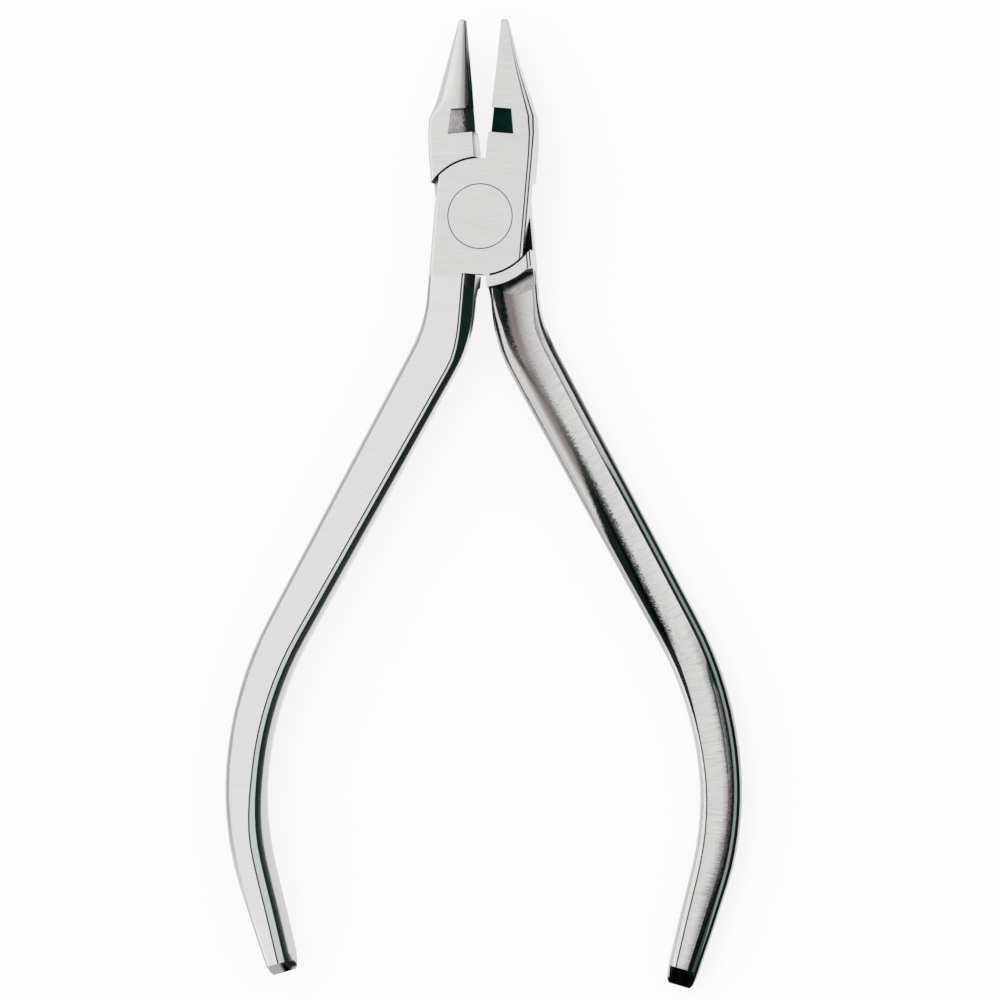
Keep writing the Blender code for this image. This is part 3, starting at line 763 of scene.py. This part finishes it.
def beside_handle(tree, place):
    """1 on the floor to the right of the right handle, from the neck down."""
    depth = add_node(tree, "ShaderNodeMapRange", {}, {
        "Value": place["Y"], "From Min": BAND_TOP, "From Max": BAND_BOTTOM})
    curve = add_node(tree, "ShaderNodeFloatCurve", {}, {"Value": depth.outputs["Result"]})
    opened = Matrix.Rotation(HALF_OPENING, 3, "Z")
    shape = curve.mapping.curves[0].points
    for x, y, angle, _ in handle_line()[BAND_POINTS]:
        edge = opened @ Vector((-x + HANDLE_HALF_WIDTH * math.cos(angle),
                                y + HANDLE_HALF_WIDTH * math.sin(angle), 0.0))
        share = (edge.y - BAND_TOP) / (BAND_BOTTOM - BAND_TOP)
        if 0.0 < share < 1.0:
            shape.new(share, edge.x / BAND_WIDTH)
    shape[0].location = (0.0, BAND_ENDS[0])
    shape[len(shape) - 1].location = (1.0, BAND_ENDS[1])
    curve.mapping.update()
    past = moved(tree, place["X"], curve.outputs["Value"], -BAND_WIDTH)
    right = rise(tree, past, -0.2 * MM, 0.6 * MM)
    return product(tree, right, rise(tree, place["Y"], BAND_TOP, BAND_TOP - 3.0 * MM))


def white_floor(dark):
    """White paper that shows as white to the eye and keeps a faint shadow.

    The steel mirrors white paper too, but past the paper's edge on the right and below it
    mirrors the dark table.
    """
    material, tree = new_material("matt_white_paper")
    path = add_node(tree, "ShaderNodeLightPath").outputs
    mirrored = largest(tree, path["Is Glossy Ray"], path["Is Transmission Ray"])
    seen = largest(tree, path["Is Camera Ray"], mirrored)
    place = add_node(tree, "ShaderNodeTexCoord").outputs["Object"]
    place = add_node(tree, "ShaderNodeSeparateXYZ", {}, {"Vector": place}).outputs
    right = rise(tree, place["X"], PAPER_RIGHT, PAPER_RIGHT + PAPER_FADE)
    below = rise(tree, place["Y"], PAPER_LOW, PAPER_LOW - PAPER_FADE)
    patches = [patch(tree, place, middle, size) for middle, size in SHADE_PATCHES]
    past = largest(tree, right, below, beside_handle(tree, place), *patches)
    colour = tint(tree, product(tree, past, mirrored), WHITE, dark)
    paper = add_node(tree, "ShaderNodeBsdfDiffuse", {}, {"Color": linear(PAPER)})
    glow = add_node(tree, "ShaderNodeEmission", {}, {
        "Color": colour, "Strength": gap_loss(tree, path, 1.0)})
    mixed = add_node(tree, "ShaderNodeMixShader", {}, {
        0: product(tree, seen, PAPER_GLOW), 1: paper.outputs["BSDF"],
        2: glow.outputs["Emission"]})
    add_node(tree, "ShaderNodeOutputMaterial", {}, {"Surface": mixed.outputs["Shader"]})
    return material


def studio_room(dark):
    """A bright soft room that is dark low down on the right and below, white to the eye."""
    world = bpy.data.worlds.new("studio_room")
    bpy.context.scene.world = world
    world.use_nodes = True
    tree = world.node_tree
    tree.nodes.clear()
    direction = add_node(tree, "ShaderNodeTexCoord").outputs["Generated"]
    parts = add_node(tree, "ShaderNodeSeparateXYZ", {}, {"Vector": direction}).outputs
    side = add_node(tree, "ShaderNodeVectorMath", {"operation": "DOT_PRODUCT"}, {
        0: direction, 1: DARK_DIRECTION})
    right = rise(tree, side.outputs["Value"], 0.0, 0.3)
    low = fall(tree, parts["Z"], 0.12, 0.42)
    below_top = fall(tree, parts["Z"], 0.45, 0.9)
    sky = tint(tree, product(tree, below_top, right), WHITE, ROSY_SKY)
    room = tint(tree, product(tree, low, right), sky, dark)
    brighter_left = fade(tree, parts["X"], 0.1, -0.6, 0.97, 1.15)
    path = add_node(tree, "ShaderNodeLightPath").outputs
    lit = add_node(tree, "ShaderNodeBackground", {}, {
        "Color": room, "Strength": product(tree, brighter_left, gap_loss(tree, path, 2.0))})
    white = add_node(tree, "ShaderNodeBackground", {}, {"Color": linear(WHITE)})
    mixed = add_node(tree, "ShaderNodeMixShader", {}, {
        0: path["Is Camera Ray"], 1: lit.outputs["Background"], 2: white.outputs["Background"]})
    add_node(tree, "ShaderNodeOutputWorld", {}, {"Surface": mixed.outputs["Shader"]})


def soft_lamp():
    """A big square lamp that lights the pliers and isn't mirrored in them."""
    bpy.ops.object.light_add(type="AREA", location=LAMP_PLACE)
    lamp = bpy.context.object
    lamp.name = "soft_lamp"
    lamp.data.shape = "SQUARE"
    lamp.data.size = LAMP_SIZE
    lamp.data.energy = LAMP_POWER
    lamp.visible_glossy = False
    to_pliers = -lamp.location
    lamp.rotation_euler = to_pliers.to_track_quat("-Z", "Y").to_euler()


def picture_camera(distance, tilt):
    """A long lens straight over the pliers, leaning a little to the square beak's side."""
    toward = Vector((math.sin(tilt), 0.0, math.cos(tilt)))
    right = Vector((math.cos(tilt), 0.0, -math.sin(tilt)))
    up = Vector((0.0, 1.0, 0.0))
    half = IMAGE_PIXELS / 2
    aim = (PIVOT_MIDDLE + right * (half - PIVOT_PIXEL[0]) * PIXEL_SIZE
           - up * (half - PIVOT_PIXEL[1]) * PIXEL_SIZE)
    data = bpy.data.cameras.new("picture_camera")
    camera = bpy.data.objects.new("picture_camera", data)
    bpy.context.scene.collection.objects.link(camera)
    data.lens = data.sensor_width * distance / (IMAGE_PIXELS * PIXEL_SIZE)
    data.clip_start = CLIP_NEAR
    data.clip_end = CLIP_FAR
    pose = Matrix((right, up, toward)).transposed().to_4x4()
    pose.translation = aim + toward * distance
    camera.matrix_world = pose
    bpy.context.scene.camera = camera


class PLIERS_OT_stage(bpy.types.Operator):
    """Set the floor, the room, the lamp and the camera"""

    bl_idname = "pliers.stage"
    bl_label = "Stage"

    def execute(self, context):
        stage = context.scene.pliers_stage
        bpy.ops.object.select_all(action="DESELECT")
        bpy.ops.mesh.primitive_plane_add(size=FLOOR_SIZE, location=(0.0, 0.0, -FLOOR_DROP))
        floor = context.object
        floor.name = "studio_floor"
        floor.data.materials.append(white_floor(stage.dark_colour))
        studio_room(stage.dark_colour)
        soft_lamp()
        picture_camera(stage.camera_distance, stage.camera_tilt)
        context.scene.view_settings.view_transform = "Standard"
        return {"FINISHED"}


STEPS = (PLIERS_OT_front_half, PLIERS_OT_back_half, PLIERS_OT_pivot_rivet, PLIERS_OT_stage)


class PLIERS_PT_main(bpy.types.Panel):
    """The pliers' steps and settings"""

    bl_idname = "PLIERS_PT_main"
    bl_label = "Orthodontic pliers"
    bl_space_type = "VIEW_3D"
    bl_region_type = "UI"
    bl_category = "Pliers"

    def draw(self, context):
        for group in (context.scene.pliers_steel, context.scene.pliers_stage):
            for name in group.__annotations__:
                self.layout.prop(group, name)
        for step in STEPS:
            self.layout.operator(step.bl_idname)


CLASSES = (PliersSteel, PliersStage, *STEPS, PLIERS_PT_main)


def register():
    for item in CLASSES:
        bpy.utils.register_class(item)
    bpy.types.Scene.pliers_steel = bpy.props.PointerProperty(type=PliersSteel)
    bpy.types.Scene.pliers_stage = bpy.props.PointerProperty(type=PliersStage)


def unregister():
    del bpy.types.Scene.pliers_stage
    del bpy.types.Scene.pliers_steel
    for item in reversed(CLASSES):
        bpy.utils.unregister_class(item)


def main():
    register()
    bpy.ops.pliers.front_half()
    bpy.ops.pliers.back_half()
    bpy.ops.pliers.pivot_rivet()
    bpy.ops.pliers.stage()


if __name__ == "__main__":
    main()
